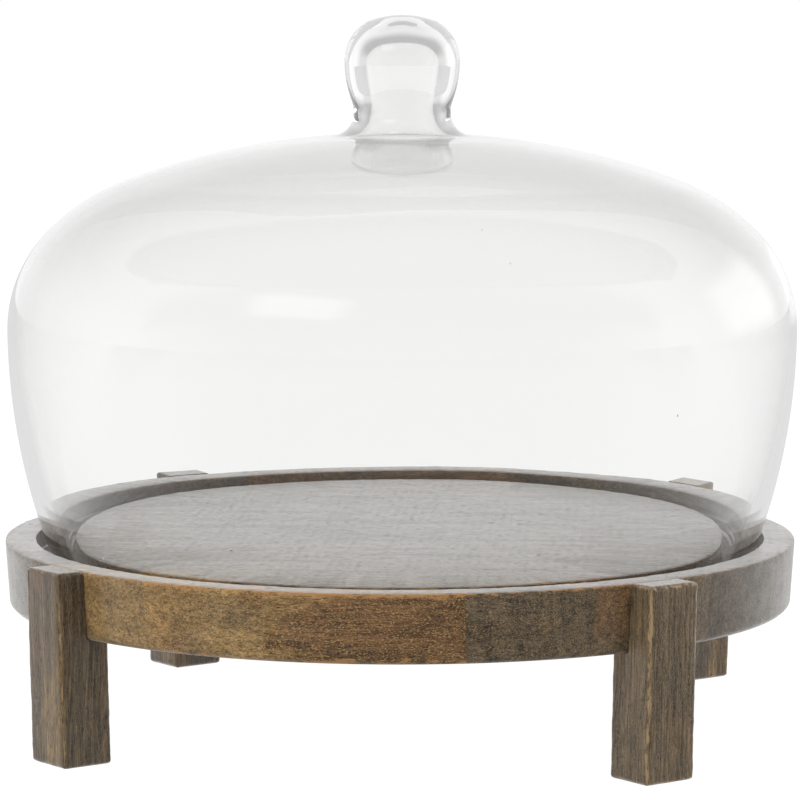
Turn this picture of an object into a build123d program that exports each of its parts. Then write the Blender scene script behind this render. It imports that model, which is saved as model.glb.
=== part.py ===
from build123d import *
import os

# Cheese dome: a blown glass dome that stands in the groove of a round wooden tray on four legs.
# Millimetres, +Z up, origin on the table under the middle of the tray. The legs stand on the
# diagonals of X and Y, and the front is towards -Y.

# Tray: a panel of edge-glued boards, turned round with a slight taper, and grooved for the dome
tray_radius = 152.4
tray_taper = 1.7
tray_top = 72.0
tray_thickness = 25.5
tray_bottom = tray_top - tray_thickness
rim_width = 12.0
rim_inner_radius = tray_radius - rim_width
groove_depth = 8.0
groove_floor = tray_top - groove_depth
plateau_radius = 126.5
plateau_top = tray_top - 1.0
arris_chamfer = 0.5
bottom_round = 2.0

# Boards: glue lines by their place across the tray, from front to back, and the turn of the grain.
# The narrow front board is pieced from three staves, butted end to end at two places along it.
glue_lines = (-128.5, -92.3, -44.6, 4.0, 60.0, 118.0)
stave_joints = (-35.7, 36.0)
grain_turn = 3.15

# Legs: square posts coped to the edge of the tray, each leaning in a little towards its foot
leg_width = 22.5
leg_depth = 21.0
leg_radius = 152.4
leg_lean = 1.9
leg_arris_round = 1.2
leg_foot_chamfer = 1.0
leg_top_round = 0.6
leg_angles = {
    "leg_back_right": 45,
    "leg_back_left": 135,
    "leg_front_left": 225,
    "leg_front_right": 315,
}

# Dowels: a pair stands in the shoulder of each leg and enters the underside of the tray
dowel_radius = 3.0
dowel_circle_radius = 145.4
dowel_spacing = 11.0
dowel_above = 15.0
dowel_below = 16.0
dowel_end_room = 1.0
dowel_chamfer = 0.6

# Dome: outer and inner skins, each a chain of tangent arcs from the axis down to the foot.
# An arc is its radius and the degrees that it turns, negative towards the foot.
dome_top = 272.2
outer_arcs = (
    (35.5, -17.5),   # crown of the knob
    (16.4, -71.6),   # ball of the knob
    (43.4, -21.5),   # side of the knob
    (11.7, 28.5),    # neck
    (8.7, 78.1),     # root of the knob
    (283.5, -16.7),  # top of the dome
    (80.0, -26.5),   # shoulder
    (52.6, -43.1),   # hip
    (247.3, -21.3),  # side wall
)
hollow_top = 263.44
inner_arcs = (
    (22.0, -25.0),   # top of the hollow in the knob
    (8.0, -65.0),
    (40.0, -14.5),
    (20.0, 14.5),    # neck
    (15.7, 86.0),    # mouth of the hollow
    (280.9, -16.7),  # top of the dome
    (77.4, -26.5),   # shoulder
    (50.0, -43.1),   # hip
    (175.0, -8.0),   # the wall begins to thicken
    (243.0, -16.2),  # side wall
)
foot_round = 1.5


def arc_chain(top, arcs):
    """Draw tangent arcs one after the other, from the axis at height top, and give the last."""
    start, heading = (0, top), (1, 0)
    for radius, turn in arcs:
        arc = JernArc(start=start, tangent=heading, radius=radius, arc_size=turn)
        start, heading = arc @ 1, arc % 1
    return arc


def export_piece(piece, name):
    """Name a finished piece and write it as one node."""
    piece.label = name
    export_step(piece, f"parts/{name}.step")


os.makedirs("parts", exist_ok=True)

# Tray, turned in one piece before it is parted into its boards
with BuildPart() as tray:
    with BuildSketch(Plane.XZ):
        with BuildLine():
            Polyline(
                (0, tray_bottom),
                (tray_radius - tray_taper, tray_bottom),
                (tray_radius, tray_top),
                (rim_inner_radius, tray_top),
                (rim_inner_radius, groove_floor),
                (plateau_radius, groove_floor),
                (plateau_radius, plateau_top),
                (0, plateau_top),
                close=True,
            )
        make_face()
    revolve(axis=Axis.Z)
    rings = tray.edges().filter_by(GeomType.CIRCLE).group_by(Axis.Z)
    fillet(rings[0], bottom_round)
    chamfer(rings[-1] + rings[-2], arris_chamfer)

# Dowels, two to a leg, across the joint between leg and tray
with BuildPart() as dowels:
    for angle in leg_angles.values():
        leg_plane = Plane.XY.offset(tray_bottom - dowel_below).rotated((0, 0, angle))
        with BuildSketch(leg_plane):
            with Locations((dowel_circle_radius, 0)):
                with GridLocations(0, dowel_spacing, 1, 2):
                    Circle(dowel_radius)
        extrude(amount=dowel_below + dowel_above)
    chamfer(dowels.edges().filter_by(GeomType.CIRCLE), dowel_chamfer)
export_piece(dowels.part, "leg_dowels")

# Holes for the dowels, a little deeper at both ends
with BuildPart() as dowel_holes:
    for angle in leg_angles.values():
        hole_plane = Plane.XY.offset(tray_bottom - dowel_below - dowel_end_room).rotated((0, 0, angle))
        with BuildSketch(hole_plane):
            with Locations((dowel_circle_radius, 0)):
                with GridLocations(0, dowel_spacing, 1, 2):
                    Circle(dowel_radius)
        extrude(amount=dowel_below + dowel_above + 2 * dowel_end_room)

# Boards: the tray parted along its glue lines, and the front one at its butt joints.
# Each cell is its left, right, front and back limits along and across the grain.
reach = tray_radius + 1
stave_edges = (-reach, *stave_joints, reach)
board_edges = (*glue_lines, reach)
cells = {}
for side, left, right in zip(("left", "middle", "right"), stave_edges[:-1], stave_edges[1:]):
    cells[f"tray_stave_{side}"] = (left, right, -reach, glue_lines[0])
for number, (front, back) in enumerate(zip(board_edges[:-1], board_edges[1:]), start=1):
    cells[f"tray_board_{number}"] = (-reach, reach, front, back)

board_plane = Plane.XY.rotated((0, 0, grain_turn))
for name, (left, right, front, back) in cells.items():
    with BuildPart() as board:
        add(tray.part)
        add(dowel_holes.part, mode=Mode.SUBTRACT)
        with BuildSketch(board_plane):
            with Locations(((left + right) / 2, (front + back) / 2)):
                Rectangle(right - left, back - front)
        extrude(amount=reach, mode=Mode.INTERSECT)
    export_piece(board.part, name)

# Cope: the round edge of the tray, which the legs are cut to
with BuildPart() as cope:
    with BuildSketch(Plane.XZ):
        with BuildLine():
            Polyline(
                (0, tray_bottom),
                (tray_radius - tray_taper, tray_bottom),
                (tray_radius, tray_top),
                (0, tray_top),
                close=True,
            )
        make_face()
    revolve(axis=Axis.Z)

# Leg: a square post, coped so that a stub stands against the tray and a shoulder lies under it
leg_outer = leg_radius + leg_depth / 2
leg_inner = leg_radius - leg_depth / 2
with BuildPart() as post:
    with BuildSketch(Plane.XZ):
        with BuildLine():
            Polyline(
                (leg_inner - leg_lean, 0),
                (leg_outer - leg_lean, 0),
                (leg_outer, tray_top),
                (leg_inner, tray_top),
                close=True,
            )
        make_face()
    extrude(amount=leg_width / 2, both=True)
    fillet(post.edges().filter_by(lambda edge: edge.length > tray_thickness), leg_arris_round)
    chamfer(post.faces().sort_by(Axis.Z)[0].edges(), leg_foot_chamfer)
    add(cope.part, mode=Mode.SUBTRACT)
    fillet(post.faces().sort_by(Axis.Z)[-1].edges().filter_by(GeomType.LINE), leg_top_round)

for name, angle in leg_angles.items():
    with BuildPart() as leg:
        add(post.part.rotate(Axis.Z, angle))
        add(dowel_holes.part, mode=Mode.SUBTRACT)
    export_piece(leg.part, name)

# Dome with its hollow knob, blown in one piece. The wall runs on below the foot, is cut off flat
# at the floor of the groove, and its edges are melted round.
with BuildPart() as dome:
    with BuildSketch(Plane.XZ):
        with BuildLine():
            outer_end = arc_chain(dome_top, outer_arcs)
            inner_end = arc_chain(hollow_top, inner_arcs)
            Line(outer_end @ 1, inner_end @ 1)
            Line((0, hollow_top), (0, dome_top))
        make_face()
    revolve(axis=Axis.Z)
    split(bisect_by=Plane.XY.offset(groove_floor), keep=Keep.TOP)
    fillet(dome.edges().group_by(Axis.Z)[0], foot_round)
export_piece(dome.part, "glass_dome")
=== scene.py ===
from math import cos, hypot, pi, radians, sin

import bpy
from mathutils import Matrix, Vector


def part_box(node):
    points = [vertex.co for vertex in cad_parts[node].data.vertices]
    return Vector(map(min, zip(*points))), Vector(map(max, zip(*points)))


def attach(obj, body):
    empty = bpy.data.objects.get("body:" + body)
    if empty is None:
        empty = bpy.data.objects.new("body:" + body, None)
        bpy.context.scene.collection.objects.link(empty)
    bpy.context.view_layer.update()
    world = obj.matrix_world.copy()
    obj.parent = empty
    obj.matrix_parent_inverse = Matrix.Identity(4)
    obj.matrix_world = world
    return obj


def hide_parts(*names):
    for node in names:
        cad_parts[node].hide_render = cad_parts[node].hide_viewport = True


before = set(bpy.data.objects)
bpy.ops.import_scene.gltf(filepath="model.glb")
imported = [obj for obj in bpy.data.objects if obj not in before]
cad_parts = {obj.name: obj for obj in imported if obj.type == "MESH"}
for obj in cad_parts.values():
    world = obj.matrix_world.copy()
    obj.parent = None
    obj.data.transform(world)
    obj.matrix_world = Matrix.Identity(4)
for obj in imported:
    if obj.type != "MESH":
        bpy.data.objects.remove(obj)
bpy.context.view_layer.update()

# ---------------------------------------------------------------------------------------------
# Camera and stage. The dome stands alone on a white sweep in a small studio, looked at from just
# above its own height, with the room behind the camera and over the sweep left dim.
# ---------------------------------------------------------------------------------------------
camera_away = 1.503
camera_height = 0.2857
camera_side = radians(8.1)
camera_tilt = radians(6.145)
camera_lens = 176.0

bpy.ops.object.camera_add(
    location=(camera_away * sin(camera_side), -camera_away * cos(camera_side), camera_height),
    rotation=(pi / 2 - camera_tilt, 0, camera_side),
)
camera = bpy.context.object
camera.data.lens = camera_lens
camera.data.sensor_width = 36
camera.data.clip_end = 100
bpy.context.scene.camera = camera
bpy.context.scene.view_settings.view_transform = "Standard"


def put(tree, kind, sockets=None, **settings):
    """Add a node of a kind, set its options, and fill its inputs with values or with links."""
    node = tree.nodes.new("ShaderNode" + kind)
    for name, value in settings.items():
        setattr(node, name, value)
    for name, value in (sockets or {}).items():
        if isinstance(value, bpy.types.NodeSocket):
            tree.links.new(value, node.inputs[name])
        else:
            node.inputs[name].default_value = value
    return node


def maths(tree, operation, *values, clamp=False):
    """Add a Math node and give its output."""
    return put(tree, "Math", dict(enumerate(values)), operation=operation, use_clamp=clamp).outputs[0]


def product(tree, first, *others):
    """Multiply values together."""
    for other in others:
        first = maths(tree, "MULTIPLY", first, other)
    return first


def ease(tree, value, low, high, to_low=0.0, to_high=1.0):
    """Ease a value from one range into another, held at both ends."""
    sockets = {"Value": value, "From Min": low, "From Max": high, "To Min": to_low, "To Max": to_high}
    return put(tree, "MapRange", sockets, interpolation_type="SMOOTHSTEP").outputs[0]


# Studio room: a white sweep behind the object, and a dimmer room beside, over and in front of it,
# which shows in reflections. What is seen straight or through the glass is white all round.
sweep_light = 1.04
side_light = 0.80
front_share = 0.40
high_share = 0.68
room = bpy.data.worlds.new("studio_room")
bpy.context.scene.world = room
room.use_nodes = True
room_tree = room.node_tree
room_tree.nodes.clear()
room_front = (sin(camera_side), -cos(camera_side), 0)
look = put(room_tree, "TexCoord").outputs["Generated"]
facing = put(room_tree, "VectorMath", {0: look, 1: room_front}, operation="DOT_PRODUCT").outputs["Value"]
level = put(room_tree, "SeparateXYZ", {0: look}).outputs["Z"]
round_light = ease(room_tree, facing, -0.97, -0.70, sweep_light, side_light)
front_dim = ease(room_tree, facing, -0.1, 0.75, 1.0, front_share)
high_dim = ease(room_tree, level, 0.12, 0.50, 1.0, high_share)
room_light = product(room_tree, round_light, front_dim, high_dim)
ray = put(room_tree, "LightPath").outputs
bounces = maths(room_tree, "ADD", ray["Glossy Depth"], ray["Diffuse Depth"])
bounced = maths(room_tree, "MINIMUM", bounces, 1.0)
off_white = maths(room_tree, "SUBTRACT", room_light, 1.0)
shown_light = maths(room_tree, "MULTIPLY_ADD", off_white, bounced, 1.0)
backdrop = put(room_tree, "Background", {"Color": (1, 1, 1, 1), "Strength": shown_light})
put(room_tree, "OutputWorld", {"Surface": backdrop.outputs[0]})

# Floor: the white sweep, lit through from below, so that it hardly takes a shadow. Reflections show
# it dimmer, and dimmest between the object and the camera, and it lights the wood less.
floor_radius = 40
floor_behind = 0.68
floor_ahead = 0.22
floor_on_wood = 0.55
bpy.ops.object.select_all(action="DESELECT")
bpy.ops.mesh.primitive_circle_add(
    vertices=96, radius=floor_radius, fill_type="NGON", location=(0, 0, 0)
)
floor = bpy.context.object
floor.name = "studio_floor"
floor_paint = bpy.data.materials.new("floor_paint")
floor_paint.use_nodes = True
floor_shader = floor_paint.node_tree.nodes["Principled BSDF"]
floor_shader.inputs["Base Color"].default_value = (0.12, 0.12, 0.12, 1)
floor_shader.inputs["Roughness"].default_value = 0.9
floor_shader.inputs["Specular IOR Level"].default_value = 0.0
floor_shader.inputs["Emission Color"].default_value = (1, 1, 1, 1)
floor_tree = floor_paint.node_tree
floor_place = put(floor_tree, "NewGeometry").outputs["Position"]
ahead = put(
    floor_tree, "VectorMath", {0: floor_place, 1: room_front}, operation="DOT_PRODUCT"
).outputs["Value"]
dimmed = ease(floor_tree, ahead, -0.1, 0.25, floor_behind, floor_ahead)
ray = put(floor_tree, "LightPath").outputs
reflected = ease(floor_tree, ray["Glossy Depth"], 0.0, 1.0, 1.0, dimmed)
on_wood = ease(floor_tree, ray["Diffuse Depth"], 0.0, 1.0, 1.0, floor_on_wood)
floor_light = maths(floor_tree, "MINIMUM", reflected, on_wood)
floor_tree.links.new(floor_light, floor_shader.inputs["Emission Strength"])
floor.data.materials.append(floor_paint)

lamp_away = 1.6
lamp_aim = Vector((0, 0, 0.12))


def lamp_at(name, side, up, width, height, power):
    """Hang a soft lamp at an angle to the right of the camera and an angle up, facing the object."""
    angle = camera_side + side
    place = lamp_aim + lamp_away * Vector((cos(up) * sin(angle), -cos(up) * cos(angle), sin(up)))
    bpy.ops.object.light_add(type="AREA", location=place)
    lamp = bpy.context.object
    lamp.name = name
    lamp.rotation_euler = (lamp_aim - place).to_track_quat("-Z", "Y").to_euler()
    lamp.data.shape = "RECTANGLE"
    lamp.data.size = width
    lamp.data.size_y = height
    lamp.data.energy = power
    lamp.visible_camera = False
    lamp.visible_transmission = False
    # The cloth of a softbox glows less towards its edges
    lamp.data.use_nodes = True
    tree = lamp.data.node_tree
    cloth = put(tree, "NewGeometry").outputs["Parametric"]
    glow = 1.0
    for axis in ("X", "Y"):
        across = put(tree, "SeparateXYZ", {0: cloth}).outputs[axis]
        off_middle = maths(tree, "ABSOLUTE", maths(tree, "SUBTRACT", across, 0.5))
        glow = maths(tree, "MULTIPLY", glow, ease(tree, off_middle, 0.22, 0.5, 1.5, 0.0))
    tree.links.new(glow, tree.nodes["Emission"].inputs["Strength"])
    return lamp


# Softboxes that show as highlights in the glass, and fills that only light the wood
lamp_at("softbox_left", radians(-32), radians(36), 0.95, 0.60, 1.3)
lamp_at("softbox_right", radians(118), radians(14), 1.20, 0.90, 1.5)
for name, side, up, size, power in (
    ("fill_left", radians(-50), radians(38), 1.2, 10.5),
    ("fill_right", radians(48), radians(30), 1.2, 6),
):
    fill = lamp_at(name, side, up, size, size, power)
    fill.visible_glossy = False

# ---------------------------------------------------------------------------------------------
# Tray: hardwood boards edge-glued into a panel, the front one pieced from three staves, turned
# round, grooved for the dome, and stained grey-brown. The stain is worn thin on every arris.
# ---------------------------------------------------------------------------------------------
mm = 0.001
tray_low, tray_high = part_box("tray_board_3")
tray_radius = tray_high[0]
tray_top = tray_high[2]
tray_bottom = tray_low[2]
tray_taper = 1.7 * mm
rim_inner = tray_radius - 12.0 * mm
groove_floor = tray_top - 8.0 * mm
plateau_radius = tray_radius - 25.9 * mm
plateau_top = tray_top - 1.0 * mm
glue_lines = [place * mm for place in (-128.5, -92.3, -44.6, 4.0, 60.0, 118.0)]
stave_joints = [place * mm for place in (-35.7, 36.0)]
grain_turn = radians(3.15)
tray_steps = 720


def pick(mesh_object, want):
    """In edit mode, select the vertices whose place answers yes, and nothing else."""
    bpy.ops.object.mode_set(mode="OBJECT")
    mesh = mesh_object.data
    for part in (*mesh.polygons, *mesh.edges):
        part.select = False
    for vertex in mesh.vertices:
        vertex.select = want(vertex.co)
    bpy.ops.object.mode_set(mode="EDIT")
    bpy.ops.mesh.select_mode(type="VERT")


def ready(piece):
    """Make one object the only one selected, and the active one."""
    bpy.ops.object.select_all(action="DESELECT")
    piece.select_set(True)
    bpy.context.view_layer.objects.active = piece


def keep_place(piece):
    """Put a piece's place and turn into its mesh."""
    ready(piece)
    bpy.ops.object.transform_apply(location=True, rotation=True, scale=True)


def start_point(name, place):
    """A new mesh of one vertex, left in edit mode with that vertex selected."""
    bpy.ops.object.select_all(action="DESELECT")
    bpy.ops.mesh.primitive_plane_add(size=1, location=(0, 0, 0))
    piece = bpy.context.object
    piece.name = name
    piece.data.name = name
    bpy.ops.object.mode_set(mode="EDIT")
    bpy.ops.mesh.merge(type="CENTER")
    bpy.ops.transform.translate(value=place)
    return piece


def drawn_on(*places):
    """Draw on from the selected vertex through points given as radius and height."""
    for start, end in zip(places[:-1], places[1:]):
        step = (end[0] - start[0], 0, end[1] - start[1])
        bpy.ops.mesh.extrude_region_move(TRANSFORM_OT_translate={"value": step})


def turned(steps):
    """Turn the drawn outline into a closed round solid about the upright axis."""
    bpy.ops.mesh.select_all(action="SELECT")
    bpy.ops.mesh.spin(steps=steps, angle=2 * pi, center=(0, 0, 0), axis=(0, 0, 1))
    bpy.ops.mesh.select_all(action="SELECT")
    bpy.ops.mesh.remove_doubles(threshold=0.002 * mm)
    bpy.ops.mesh.select_all(action="SELECT")
    bpy.ops.mesh.normals_make_consistent(inside=False)
    bpy.ops.object.mode_set(mode="OBJECT")


# The outline of the panel, with a ring close beside every arris for the wear to end on
near = 1.2 * mm
arris = 0.5 * mm
foot_round = 2.0 * mm
wall_lean = tray_taper / (tray_top - tray_bottom)


def wall_radius(height):
    """Radius of the tapered edge of the tray at a height."""
    return tray_radius - wall_lean * (tray_top - height)


foot_radius = wall_radius(tray_bottom)
round_low = [
    (foot_radius - foot_round * (1 - sin(turn)), tray_bottom + foot_round * (1 - cos(turn)))
    for turn in [radians(step) for step in (0, 22, 45, 68)]
]
wall_heights = [tray_bottom + foot_round + rise * mm for rise in (0, 1.2, 4, 8, 12, 16, 20)]
outline = [
    (0, tray_bottom),
    (0.5 * foot_radius, tray_bottom),
    (foot_radius - foot_round - near, tray_bottom),
    *round_low,
    *[(wall_radius(height), height) for height in wall_heights],
    (wall_radius(tray_top - arris - near), tray_top - arris - near),
    (wall_radius(tray_top - arris), tray_top - arris),
    (tray_radius - 0.3 * arris, tray_top - 0.3 * arris),
    (tray_radius - arris, tray_top),
    (tray_radius - arris - near, tray_top),
    ((tray_radius + rim_inner) / 2, tray_top),
    (rim_inner + arris + near, tray_top),
    (rim_inner + arris, tray_top),
    (rim_inner + 0.3 * arris, tray_top - 0.3 * arris),
    (rim_inner, tray_top - arris),
    (rim_inner, tray_top - arris - near),
    (rim_inner, groove_floor + 0.6 * mm),
    (rim_inner - 0.6 * mm, groove_floor),
    ((rim_inner + plateau_radius) / 2, groove_floor),
    (plateau_radius + 0.6 * mm, groove_floor),
    (plateau_radius, groove_floor + 0.6 * mm),
    (plateau_radius, plateau_top - arris - near),
    (plateau_radius, plateau_top - arris),
    (plateau_radius - 0.3 * arris, plateau_top - 0.3 * arris),
    (plateau_radius - arris, plateau_top),
    (plateau_radius - arris - near, plateau_top),
    (0.5 * plateau_radius, plateau_top),
    (0, plateau_top),
]
tray = start_point("tray", (0, 0, tray_bottom))
drawn_on(*outline)
turned(tray_steps)

# Wear: the arrises are rubbed back unevenly, by up to a few tenths of a millimetre
tray_arrises = [
    (tray_radius, tray_top),
    (rim_inner, tray_top),
    (plateau_radius, plateau_top),
    (foot_radius, tray_bottom),
]


def arris_distance(place):
    """Distance from a place on the tray to the nearest of its four arrises."""
    radius = hypot(place[0], place[1])
    return min(hypot(radius - r, place[2] - z) for r, z in tray_arrises)


def mark_arrises(piece, distance):
    """Give the material each point's distance to an arris, in millimetres, as an attribute."""
    attribute = piece.data.attributes.new("to_arris", "FLOAT", "POINT")
    for index, vertex in enumerate(piece.data.vertices):
        attribute.data[index].value = distance(vertex.co) / mm


def worn(piece, distance, reach, depth, grain_size, name):
    """Rub a piece back along its arrises by a cloudy pattern that fades out over reach."""
    group = piece.vertex_groups.new(name="arrises")
    for vertex in piece.data.vertices:
        share = 1 - distance(vertex.co) / reach
        if share > 0:
            group.add([vertex.index], min(1, 1.5 * share), "REPLACE")
    texture = bpy.data.textures.new(name, "CLOUDS")
    texture.noise_scale = grain_size
    texture.noise_depth = 3
    wear = piece.modifiers.new("wear", "DISPLACE")
    wear.texture = texture
    wear.texture_coords = "LOCAL"
    wear.vertex_group = "arrises"
    wear.strength = depth
    wear.mid_level = 0.85
    ready(piece)
    bpy.ops.object.modifier_apply(modifier="wear")
    piece.vertex_groups.clear()


worn(tray, arris_distance, 1.3 * mm, 0.55 * mm, 5 * mm, "tray_wear")


def grain_group():
    """Stained open-grained hardwood as a solid pattern, in millimetres, with X along the grain."""
    tree = bpy.data.node_groups.new("stained_grain", "ShaderNodeTree")
    sockets = tree.interface
    sockets.new_socket("Vector", in_out="INPUT", socket_type="NodeSocketVector")
    sockets.new_socket("Bare Wood", in_out="INPUT", socket_type="NodeSocketColor")
    for name, value in (
        ("Gold", 0.5), ("Red", 0.3), ("Dark", 0.5), ("Speckle", 0.5), ("Wear", 1.0), ("To Arris", 10.0)
    ):
        socket = sockets.new_socket(name, in_out="INPUT", socket_type="NodeSocketFloat")
        socket.default_value = value
    sockets.new_socket("Color", in_out="OUTPUT", socket_type="NodeSocketColor")
    for name in ("Height", "Roughness", "Coat"):
        sockets.new_socket(name, in_out="OUTPUT", socket_type="NodeSocketFloat")
    given = tree.nodes.new("NodeGroupInput").outputs
    result = tree.nodes.new("NodeGroupOutput")
    place = given["Vector"]

    def stretched(along, across):
        """The place, with so many cells to the millimetre along the grain and across it."""
        scale = (along, across, across)
        return put(tree, "VectorMath", {0: place, 1: scale}, operation="MULTIPLY").outputs[0]

    def noise(along, across, detail=2.0, rough=0.5, out="Fac"):
        """Cloudy noise with that many cells to the millimetre."""
        cells = stretched(along, across)
        sockets = {"Vector": cells, "Scale": 1.0, "Detail": detail, "Roughness": rough}
        return put(tree, "TexNoise", sockets).outputs[out]

    def mixed(share, first, second, blend="MIX"):
        """Mix two colours by a share."""
        node = put(tree, "Mix", data_type="RGBA", blend_type=blend, clamp_factor=True)
        for index, value in ((0, share), (6, first), (7, second)):
            if isinstance(value, bpy.types.NodeSocket):
                tree.links.new(value, node.inputs[index])
            else:
                node.inputs[index].default_value = value
        return node.outputs[2]

    # The grain wanders a few millimetres either way along the board
    wander = noise(0.012, 0.012, 2.0, 0.5, "Color")
    centred = put(tree, "VectorMath", {0: wander, 1: (0.5, 0.5, 0.5)}, operation="SUBTRACT").outputs[0]
    pushed = put(tree, "VectorMath", {0: centred, 1: (0, 9, 9)}, operation="MULTIPLY").outputs[0]
    place = put(tree, "VectorMath", {0: place, 1: pushed}, operation="ADD").outputs[0]

    # Growth rings about a pith that runs along X
    flat = put(tree, "VectorMath", {0: place, 1: (0, 1, 1)}, operation="MULTIPLY").outputs[0]
    ring_radius = put(tree, "VectorMath", {0: flat}, operation="LENGTH").outputs["Value"]
    ring_place = product(tree, ring_radius, 0.42)
    ring_sockets = {"W": ring_place, "Scale": 1.0, "Detail": 3.0, "Roughness": 0.6}
    ring_noise = put(tree, "TexNoise", ring_sockets, noise_dimensions="1D").outputs["Fac"]
    rings = ease(tree, ring_noise, 0.38, 0.62, 0.0, 0.6)

    # Fibres, from broad streaks to the finest, and the open pores as dashes along the grain
    broad = noise(0.012, 0.16, 3.0, 0.6)
    streaks = noise(0.035, 0.9, 4.0, 0.65)
    fine = noise(0.16, 3.2, 3.0, 0.7)
    pore_cells = put(
        tree, "TexVoronoi", {"Vector": stretched(0.28, 1.6), "Scale": 1.0, "Randomness": 1.0}
    )
    pore_shape = ease(tree, pore_cells.outputs["Distance"], 0.20, 0.36, 1.0, 0.0)
    pore_chance = put(tree, "SeparateColor", {0: pore_cells.outputs["Color"]}).outputs[0]
    pores = product(tree, pore_shape, ease(tree, pore_chance, 0.35, 0.75))
    fleck_noise = noise(1.2, 3.2, 2.0, 0.6)
    flecks = product(tree, ease(tree, fleck_noise, 0.55, 0.64), given["Speckle"])

    # Stain: dark in the soft rings and streaks, thin and golden in cloudy patches
    patch = noise(0.011, 0.045, 3.0, 0.6)
    gold_edge = maths(tree, "SUBTRACT", 0.80, product(tree, given["Gold"], 0.5))
    thin = ease(tree, maths(tree, "SUBTRACT", patch, gold_edge), -0.10, 0.12)
    red_noise = noise(0.02, 0.02, 2.0, 0.5)
    red_edge = maths(tree, "SUBTRACT", 0.78, product(tree, given["Red"], 0.5))
    red = ease(tree, maths(tree, "SUBTRACT", red_noise, red_edge), -0.08, 0.10)

    grey_brown = (0.110, 0.078, 0.045, 1)
    umber = (0.046, 0.033, 0.020, 1)
    golden = (0.30, 0.180, 0.062, 1)
    russet = (0.145, 0.062, 0.016, 1)
    pale_gold = (0.50, 0.33, 0.13, 1)
    pore_stain = (0.018, 0.013, 0.010, 1)

    colour = mixed(rings, grey_brown, umber)
    colour = mixed(product(tree, red, 0.75), colour, russet)
    colour = mixed(product(tree, thin, 0.65), colour, golden)
    streak_tone = ease(tree, streaks, 0.32, 0.68, 0.60, 1.40)
    broad_tone = ease(tree, broad, 0.32, 0.68, 0.75, 1.22)
    fine_tone = ease(tree, fine, 0.36, 0.64, 0.55, 1.50)
    dark = maths(tree, "SUBTRACT", 1.25, product(tree, given["Dark"], 0.5))
    tone = product(tree, streak_tone, broad_tone, fine_tone, dark)
    toned = put(tree, "VectorMath", {0: colour, "Scale": tone}, operation="SCALE").outputs[0]
    colour = mixed(product(tree, flecks, 0.7), toned, pale_gold)
    colour = mixed(product(tree, pores, 0.8), colour, pore_stain)

    # Wear: bare orange-gold wood along the arrises, broken up by the grain
    wear_noise = noise(0.10, 0.5, 4.0, 0.7)
    wear_reach = product(tree, ease(tree, wear_noise, 0.38, 0.72, 0.25, 1.7), given["Wear"])
    bare = ease(tree, maths(tree, "SUBTRACT", given["To Arris"], wear_reach), -0.5, 0.3, 1.0, 0.0)
    rubbed = product(tree, bare, ease(tree, pores, 0.0, 1.0, 0.85, 0.2))
    colour = mixed(rubbed, colour, given["Bare Wood"])

    # Relief: the fibres stand up and the pores lie open
    height = maths(tree, "ADD", product(tree, fine, 0.5), product(tree, streaks, 0.9))
    height = maths(tree, "SUBTRACT", height, product(tree, pores, 0.9))
    rough = maths(tree, "ADD", ease(tree, streaks, 0.3, 0.7, 0.22, 0.36), product(tree, pores, 0.3))
    rough = maths(tree, "ADD", rough, product(tree, bare, 0.15))

    # Lacquer: thinner over the open pores, the dark fibres and the rubbed wood
    coat = product(
        tree,
        ease(tree, fine, 0.34, 0.52, 0.6, 1.0),
        ease(tree, streaks, 0.30, 0.48, 0.5, 1.0),
        ease(tree, broad, 0.36, 0.54, 0.72, 1.0),
        ease(tree, pores, 0.0, 1.0, 1.0, 0.4),
        ease(tree, bare, 0.0, 1.0, 1.0, 0.8),
    )
    for name, value in (("Color", colour), ("Height", height), ("Roughness", rough), ("Coat", coat)):
        tree.links.new(value, result.inputs[name])
    return tree


stained_grain = grain_group()


def stained_wood(name, turn, shift, gold, red, dark, speckle, wear, bare_wood, gold_fade=None):
    """A board's or leg's own wood: the stained grain, turned and shifted to its own part of the tree.

    gold_fade gives two places along X, and how thin and golden the stain is at each.
    """
    material = bpy.data.materials.new(name)
    material.use_nodes = True
    tree = material.node_tree
    shader = tree.nodes["Principled BSDF"]
    place = put(tree, "TexCoord").outputs["Object"]
    to_mm = (1 / mm, 1 / mm, 1 / mm)
    mapping = {"Vector": place, "Location": shift, "Rotation": turn, "Scale": to_mm}
    grain_place = put(tree, "Mapping", mapping).outputs[0]
    to_arris = put(tree, "Attribute", attribute_name="to_arris").outputs["Fac"]
    grain = put(tree, "Group", node_tree=stained_grain)
    tree.links.new(grain_place, grain.inputs["Vector"])
    tree.links.new(to_arris, grain.inputs["To Arris"])
    for socket, value in (
        ("Gold", gold), ("Red", red), ("Dark", dark), ("Speckle", speckle), ("Wear", wear),
        ("Bare Wood", bare_wood),
    ):
        grain.inputs[socket].default_value = value
    if gold_fade:
        along_x = put(tree, "SeparateXYZ", {0: place}).outputs["X"]
        tree.links.new(ease(tree, along_x, *gold_fade), grain.inputs["Gold"])
    bump = put(tree, "Bump", {"Strength": 0.5, "Distance": 0.15 * mm, "Height": grain.outputs["Height"]})
    tree.links.new(grain.outputs["Color"], shader.inputs["Base Color"])
    tree.links.new(grain.outputs["Roughness"], shader.inputs["Roughness"])
    tree.links.new(bump.outputs[0], shader.inputs["Normal"])
    shader.inputs["IOR"].default_value = 1.5
    shader.inputs["Specular IOR Level"].default_value = 0.25
    tree.links.new(grain.outputs["Coat"], shader.inputs["Coat Weight"])
    shader.inputs["Coat Roughness"].default_value = 0.18
    shader.inputs["Coat IOR"].default_value = 1.5
    shader.inputs["Sheen Weight"].default_value = 0.7
    shader.inputs["Sheen Roughness"].default_value = 0.35
    tree.links.new(bump.outputs[0], shader.inputs["Coat Normal"])
    return material


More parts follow.
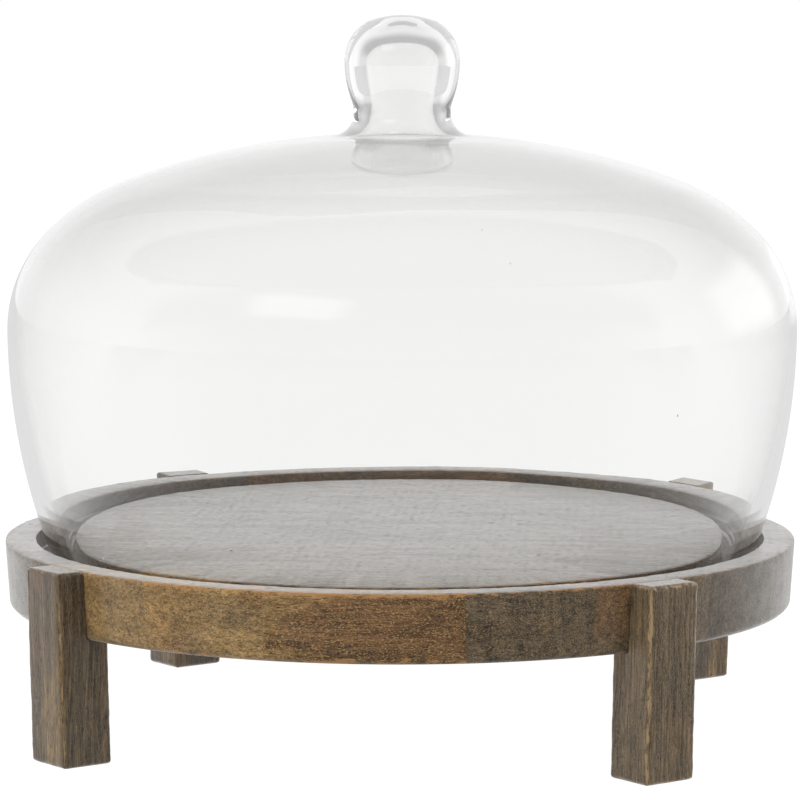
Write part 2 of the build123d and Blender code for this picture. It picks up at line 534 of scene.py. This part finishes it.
# Boards: the turned panel parted along its glue lines and butt joints, each piece with its own wood
reach = tray_radius + mm
along_boards = Vector((cos(grain_turn), sin(grain_turn), 0))
across_boards = Vector((-sin(grain_turn), cos(grain_turn), 0))
stave_edges = [-reach, *stave_joints, reach]
board_edges = [*glue_lines, reach]
cells = [(left, right, -reach, glue_lines[0]) for left, right in zip(stave_edges[:-1], stave_edges[1:])]
cells += [(-reach, reach, front, back) for front, back in zip(board_edges[:-1], board_edges[1:])]
orange_wood = (0.46, 0.23, 0.075, 1)
tray_woods = {
    # tilt of the pith, shift of the grain in millimetres, gold, red, dark, speckle, wear
    "tray_stave_left": (0.00, (-35, 58, -96), 0.75, 0.75, 0.10, 1.2, 1.3),
    "tray_stave_middle": (0.03, (210, 40, -30), 0.40, 0.95, 0.55, 1.2, 1.6),
    "tray_stave_right": (0.00, (420, 30, -70), 0.20, 0.45, 0.70, 0.8, 0.8),
    "tray_board_1": (0.15, (-12, 110, -48), 0.70, 0.35, 0.25, 0.7, 0.7),
    "tray_board_2": (0.02, (520, 60, -58), 0.10, 0.05, 0.60, 0.1, 0.5),
    "tray_board_3": (0.03, (-310, -60, 55), 0.20, 0.10, 0.60, 0.2, 0.5),
    "tray_board_4": (0.04, (640, 90, -60), 0.15, 0.10, 0.60, 0.2, 0.5),
    "tray_board_5": (0.05, (-520, -130, 80), 0.25, 0.20, 0.55, 0.3, 0.5),
    "tray_board_6": (0.06, (130, -160, -50), 0.50, 0.40, 0.45, 0.4, 0.5),
}
gold_fades = {
    "tray_stave_left": (-0.110, -0.036, 0.95, 0.75),
    "tray_stave_middle": (-0.036, 0.015, 0.80, 0.25),
    "tray_board_1": (-0.090, 0.020, 0.95, 0.05),
}
for (name, wood), (left, right, front, back) in zip(tray_woods.items(), cells):
    board = tray.copy()
    board.data = tray.data.copy()
    board.name = name.replace("tray", "wood")
    board.data.name = board.name
    bpy.context.collection.objects.link(board)
    ready(board)
    bpy.ops.object.mode_set(mode="EDIT")
    for edge, along, side in (
        (left, along_boards, -1),
        (right, along_boards, 1),
        (front, across_boards, -1),
        (back, across_boards, 1),
    ):
        if abs(edge) < tray_radius:
            bpy.ops.mesh.select_all(action="SELECT")
            bpy.ops.mesh.bisect(
                plane_co=edge * along,
                plane_no=side * along,
                use_fill=True,
                clear_outer=True,
                threshold=0.001 * mm,
            )
    bpy.ops.object.mode_set(mode="OBJECT")
    ready(board)
    bpy.ops.object.shade_smooth_by_angle(angle=radians(32))
    mark_arrises(board, arris_distance)
    tilt, *looks = wood
    board.data.materials.clear()
    board.data.materials.append(
        stained_wood(
            name + "_wood", (0, tilt, -grain_turn), *looks, orange_wood, gold_fade=gold_fades.get(name)
        )
    )
    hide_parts(name)
    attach(board, "stand")
bpy.data.objects.remove(tray)

# ---------------------------------------------------------------------------------------------
# Legs: four square posts of the same wood, coped to the edge of the tray so that a stub stands
# against it flush with the rim, and leaning in a little. Their arrises are chipped and rubbed.
# ---------------------------------------------------------------------------------------------
leg_width = 22.5 * mm
leg_depth = 21.0 * mm
leg_radius = 152.4 * mm
leg_lean = 1.9 * mm
leg_arris = 1.2 * mm
leg_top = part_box("leg_front_left")[1][2]
leg_grid = 0.62 * mm
leg_angles = {"leg_back_right": 45, "leg_back_left": 135, "leg_front_left": 225, "leg_front_right": 315}

bpy.ops.object.select_all(action="DESELECT")
bpy.ops.mesh.primitive_cube_add(size=1, location=(leg_radius, 0, leg_top / 2))
post = bpy.context.object
post.name = "post"
post.scale = (leg_depth, leg_width, leg_top)
keep_place(post)
bpy.ops.object.mode_set(mode="EDIT")
pick(post, lambda place: place.z < leg_top / 2)
bpy.ops.transform.translate(value=(-leg_lean, 0, 0))
bpy.ops.mesh.select_all(action="SELECT")
bpy.ops.mesh.bevel(offset=leg_arris, segments=3, affect="EDGES")
bpy.ops.object.mode_set(mode="OBJECT")

# The cope: the tray's own tapered edge is cut out of the post, right through its top
cope_top = tray_top + 5 * mm
bpy.ops.object.select_all(action="DESELECT")
bpy.ops.mesh.primitive_cone_add(
    vertices=tray_steps,
    radius1=wall_radius(tray_bottom),
    radius2=wall_radius(cope_top),
    depth=cope_top - tray_bottom,
    location=(0, 0, (cope_top + tray_bottom) / 2),
)
cope = bpy.context.object
keep_place(cope)
ready(post)
cut = post.modifiers.new("cope", "BOOLEAN")
cut.object = cope
cut.operation = "DIFFERENCE"
cut.solver = "EXACT"
bpy.ops.object.modifier_apply(modifier="cope")
bpy.data.objects.remove(cope)
fine_mesh = post.modifiers.new("fine_mesh", "REMESH")
fine_mesh.mode = "VOXEL"
fine_mesh.voxel_size = leg_grid
bpy.ops.object.modifier_apply(modifier="fine_mesh")


def leg_frame(place):
    """A place beside a post: out from its middle, along its width, and height."""
    lean = leg_lean * (1 - place[2] / leg_top)
    return place[0] - leg_radius + lean, place[1], place[2]


unworn = 9 * mm


def leg_distance(place):
    """Distance from a place on the post to its nearest outer arris."""
    out, along, height = leg_frame(place)
    to_side = leg_width / 2 - abs(along)
    to_face = leg_depth / 2 - abs(out)
    to_end = min(height, leg_top - height)
    if abs(place[0]) < leg_radius and height > tray_bottom:
        to_face = unworn
    first, second = sorted((to_side, to_face, to_end))[:2]
    return hypot(first, second)


pale_wood = (0.42, 0.28, 0.14, 1)
leg_woods = {
    # shift of the grain in millimetres, gold, red, dark, speckle, wear
    "leg_back_right": ((30, 120, 45), 0.75, 0.15, 0.60, 0.4, 0.45),
    "leg_back_left": ((-60, 200, 15), 0.35, 0.30, 0.80, 0.3, 0.45),
    "leg_front_left": ((310, -150, 60), 0.45, 0.20, 0.45, 0.3, 0.6),
    "leg_front_right": ((150, 235, -35), 0.30, 0.15, 0.05, 0.6, 1.0),
}
for name, angle in leg_angles.items():
    leg = post.copy()
    leg.data = post.data.copy()
    leg.name = name.replace("leg", "post")
    leg.data.name = leg.name
    bpy.context.collection.objects.link(leg)
    mark_arrises(leg, leg_distance)
    leg.data.transform(Matrix.Rotation(radians(angle), 4, "Z"))

    def turned_distance(place, back=Matrix.Rotation(-radians(angle), 4, "Z")):
        """Distance to an arris from a place on the leg as it stands."""
        return leg_distance(back @ Vector(place))

    worn(leg, turned_distance, 1.6 * mm, 0.6 * mm, 6 * mm, name + "_wear")
    ready(leg)
    bpy.ops.object.shade_smooth_by_angle(angle=radians(40))
    leg.data.materials.clear()
    leg.data.materials.append(
        stained_wood(name + "_wood", (0, pi / 2, 0), *leg_woods[name], pale_wood)
    )
    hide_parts(name)
    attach(leg, "stand")
bpy.data.objects.remove(post)

# ---------------------------------------------------------------------------------------------
# Dowels: two plain beech dowels in each leg, glued up into the underside of the tray.
# ---------------------------------------------------------------------------------------------
beech = bpy.data.materials.new("plain_beech")
beech.use_nodes = True
beech_tree = beech.node_tree
beech_shader = beech_tree.nodes["Principled BSDF"]
beech_place = put(beech_tree, "TexCoord").outputs["Object"]
beech_grain = put(beech_tree, "Mapping", {"Vector": beech_place, "Scale": (1400, 1400, 60)}).outputs[0]
fleck_sockets = {"Vector": beech_grain, "Scale": 1.0, "Detail": 3.0}
beech_flecks = put(beech_tree, "TexNoise", fleck_sockets).outputs["Fac"]
beech_colours = put(beech_tree, "ValToRGB", {"Fac": beech_flecks})
beech_colours.color_ramp.elements[0].position = 0.35
beech_colours.color_ramp.elements[0].color = (0.36, 0.21, 0.11, 1)
beech_colours.color_ramp.elements[1].position = 0.62
beech_colours.color_ramp.elements[1].color = (0.56, 0.37, 0.21, 1)
beech_bump = put(beech_tree, "Bump", {"Strength": 0.4, "Distance": 0.1 * mm, "Height": beech_flecks})
beech_rough = ease(beech_tree, beech_flecks, 0.3, 0.7, 0.5, 0.7)
beech_tree.links.new(beech_colours.outputs[0], beech_shader.inputs["Base Color"])
beech_tree.links.new(beech_bump.outputs[0], beech_shader.inputs["Normal"])
beech_tree.links.new(beech_rough, beech_shader.inputs["Roughness"])
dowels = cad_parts["leg_dowels"]
dowels.data.materials.clear()
dowels.data.materials.append(beech)

# ---------------------------------------------------------------------------------------------
# Dome: clear glass blown in one piece with its hollow knob, cut off flat at the foot and fire
# polished. The hand-blown walls wave a little, and hold a few seeds of trapped air.
# ---------------------------------------------------------------------------------------------
dome_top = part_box("glass_dome")[1][2]
dome_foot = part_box("glass_dome")[0][2]
hollow_top = dome_top - 8.76 * mm
outer_arcs = (
    (35.5, 17.5),   # crown of the knob
    (16.4, 71.6),   # ball of the knob
    (43.4, 21.5),   # side of the knob
    (11.7, -28.5),  # neck
    (8.7, -78.1),   # root of the knob
    (283.5, 16.7),  # top of the dome
    (80.0, 26.5),   # shoulder
    (52.6, 43.1),   # hip
    (247.3, 21.3),  # side wall
)
inner_arcs = (
    (22.0, 25.0),   # top of the hollow in the knob
    (8.0, 65.0),
    (40.0, 14.5),
    (20.0, -14.5),  # neck
    (15.7, -86.0),  # mouth of the hollow
    (280.9, 16.7),  # top of the dome
    (77.4, 26.5),   # shoulder
    (50.0, 43.1),   # hip
    (175.0, 8.0),   # the wall begins to thicken
    (243.0, 16.2),  # side wall
)
glass_step = 2.4 * mm
glass_foot_round = 1.5 * mm
dome_steps = 240


def arc_line(top, arcs):
    """Points along arcs that run on from each other, from the axis down and out to the foot."""
    place, fall = Vector((0, top)), 0.0
    points = [place]
    for radius, turn in arcs:
        bend = radius * mm if turn > 0 else -radius * mm
        centre = place + bend * Vector((-sin(fall), -cos(fall)))
        steps = max(6, round(radius * mm * radians(abs(turn)) / glass_step))
        for step in range(1, steps + 1):
            angle = fall + radians(turn) * step / steps
            points.append(centre + bend * Vector((sin(angle), cos(angle))))
        place, fall = points[-1], fall + radians(turn)
    return [point for point in points if point.y > dome_foot + glass_foot_round]


outer_line = arc_line(dome_top, outer_arcs)
inner_line = arc_line(hollow_top, inner_arcs)
outer_foot, inner_foot = outer_line[-1], inner_line[-1]
foot_line = []
for corner, side in ((outer_foot.x - glass_foot_round, 1), (inner_foot.x + glass_foot_round, -1)):
    for step in range(6) if side > 0 else range(5, -1, -1):
        angle = radians(9 + 81 * step / 5)
        reach = glass_foot_round * cos(angle)
        drop = glass_foot_round * sin(angle)
        foot_line.append(Vector((corner + side * reach, dome_foot + glass_foot_round - drop)))
glass = start_point("dome_glass", (0, 0, dome_top))
drawn_on(*[tuple(point) for point in (*outer_line, *foot_line, *reversed(inner_line))])
turned(dome_steps)

# Waves of the hand-blown walls
waves = bpy.data.textures.new("blown_waves", "CLOUDS")
waves.noise_scale = 90 * mm
waves.noise_depth = 1
wave = glass.modifiers.new("waves", "DISPLACE")
wave.texture = waves
wave.texture_coords = "LOCAL"
wave.strength = 0.14 * mm
wave.mid_level = 0.5
ready(glass)
bpy.ops.object.modifier_apply(modifier="waves")

# Seeds: small bubbles of air, drawn out upwards, in the middle of the wall
seeds = (
    # degrees to the right of the front, height, radius and length, in millimetres
    (49.2, 130.5, 0.36, 0.4),
    (-17.6, 84.3, 0.34, 0.5),
    (-44.7, 74.6, 0.30, 0.9),
    (21.0, 197.0, 0.22, 0.4),
    (24.0, 186.0, 0.20, 0.4),
)


def line_radius(line, height):
    """Radius of a drawn line of the dome at a height, below the shoulder."""
    spans = [(low, high) for low, high in zip(line[1:], line[:-1]) if low.y <= height <= high.y]
    low, high = max(spans, key=lambda span: span[0].x)
    return low.x + (high.x - low.x) * (height - low.y) / (high.y - low.y)


for angle, height, radius, length in seeds:
    middle = (line_radius(outer_line, height * mm) + line_radius(inner_line, height * mm)) / 2
    turn = radians(angle)
    bpy.ops.object.select_all(action="DESELECT")
    bpy.ops.mesh.primitive_ico_sphere_add(
        subdivisions=3,
        radius=radius * mm,
        location=(middle * sin(turn), -middle * cos(turn), height * mm),
    )
    seed = bpy.context.object
    seed.scale.z = length / radius
    keep_place(seed)
    bpy.ops.object.mode_set(mode="EDIT")
    bpy.ops.mesh.flip_normals()
    bpy.ops.object.mode_set(mode="OBJECT")
    glass.select_set(True)
    bpy.context.view_layer.objects.active = glass
    bpy.ops.object.join()

# The dome was set down by hand, and stands a little to one side in its groove
dome_shift = 0.85 * mm
ready(glass)
glass.location = dome_shift * Vector((cos(camera_side), sin(camera_side), 0))
keep_place(glass)
bpy.ops.object.shade_smooth()

clear_glass = bpy.data.materials.new("clear_glass")
clear_glass.use_nodes = True
glass_tree = clear_glass.node_tree
glass_shader = glass_tree.nodes["Principled BSDF"]
glass_shader.inputs["Base Color"].default_value = (0.962, 0.963, 0.959, 1)
glass_shader.inputs["Roughness"].default_value = 0.0
glass_shader.inputs["IOR"].default_value = 1.5
glass_shader.inputs["Transmission Weight"].default_value = 1.0
# Light goes through to the tray, and a ray that is caught inside the wall gets out
clear = put(glass_tree, "BsdfTransparent", {"Color": (0.94, 0.94, 0.94, 1)})
ray = put(glass_tree, "LightPath").outputs
trapped = maths(glass_tree, "GREATER_THAN", ray["Glossy Depth"], 2.5)
let_through = maths(glass_tree, "MAXIMUM", ray["Is Shadow Ray"], trapped)
glass_mix = put(
    glass_tree, "MixShader", {0: let_through, 1: glass_shader.outputs[0], 2: clear.outputs[0]}
)
glass_tree.links.new(glass_mix.outputs[0], glass_tree.nodes["Material Output"].inputs["Surface"])
glass.data.materials.clear()
glass.data.materials.append(clear_glass)
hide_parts("glass_dome")
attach(glass, "dome")
